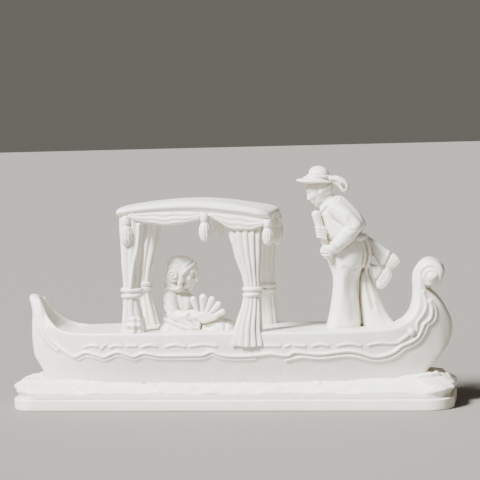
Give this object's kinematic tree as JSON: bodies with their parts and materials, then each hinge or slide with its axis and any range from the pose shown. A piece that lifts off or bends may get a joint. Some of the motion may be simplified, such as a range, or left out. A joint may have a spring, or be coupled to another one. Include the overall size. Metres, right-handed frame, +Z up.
{
  "type": "gondola souvenir figurine",
  "caption": "Ivory moulded-plastic gondola on a rippled plinth, with a curtained canopy, a seated passenger and a standing gondolier.",
  "frame": {"origin": "centre of the plinth's underside", "axes": "+X from the bow to the stern, +Y from the front to the back, +Z up"},
  "size_m": [0.1208, 0.026, 0.0644],
  "materials": {
    "plinth_plastic": "aged ivory moulded plastic, satin",
    "boat_plastic": "aged ivory moulded plastic, satin",
    "canopy_plastic": "aged ivory moulded plastic, satin",
    "figure_plastic": "aged ivory moulded plastic, satin"
  },
  "bodies": {
    "root": {"base_plate": "plinth_plastic", "canopy_roof": "canopy_plastic", "centre_tassel_front": "canopy_plastic", "centre_tassel_rear": "canopy_plastic", "corner_tassel_front_left": "canopy_plastic", "corner_tassel_front_right": "canopy_plastic", "corner_tassel_rear_left": "canopy_plastic", "corner_tassel_rear_right": "canopy_plastic", "curtain_front_left": "canopy_plastic", "curtain_front_right": "canopy_plastic", "curtain_rear_left": "canopy_plastic", "curtain_rear_right": "canopy_plastic", "deck_plate": "boat_plastic", "end_tassel": "canopy_plastic", "gondolier_collar": "figure_plastic", "gondolier_far_arm": "figure_plastic", "gondolier_hat": "figure_plastic", "gondolier_hat_ribbon": "figure_plastic", "gondolier_head": "figure_plastic", "gondolier_near_arm": "figure_plastic", "gondolier_sash": "figure_plastic", "gondolier_shirt": "figure_plastic", "gondolier_trousers": "figure_plastic", "hull_shell": "boat_plastic", "oar": "boat_plastic", "passenger_arm": "figure_plastic", "passenger_bodice": "figure_plastic", "passenger_bun": "figure_plastic", "passenger_fan": "figure_plastic", "passenger_head": "figure_plastic", "passenger_headband": "figure_plastic", "passenger_skirt": "figure_plastic", "sea_slab": "plinth_plastic", "stern_scroll": "boat_plastic", "tie_band_front_left": "canopy_plastic", "tie_band_front_right": "canopy_plastic", "tie_band_rear_left": "canopy_plastic", "tie_band_rear_right": "canopy_plastic", "valance_front": "canopy_plastic", "valance_rear": "canopy_plastic"}
  },
  "joints": []
}
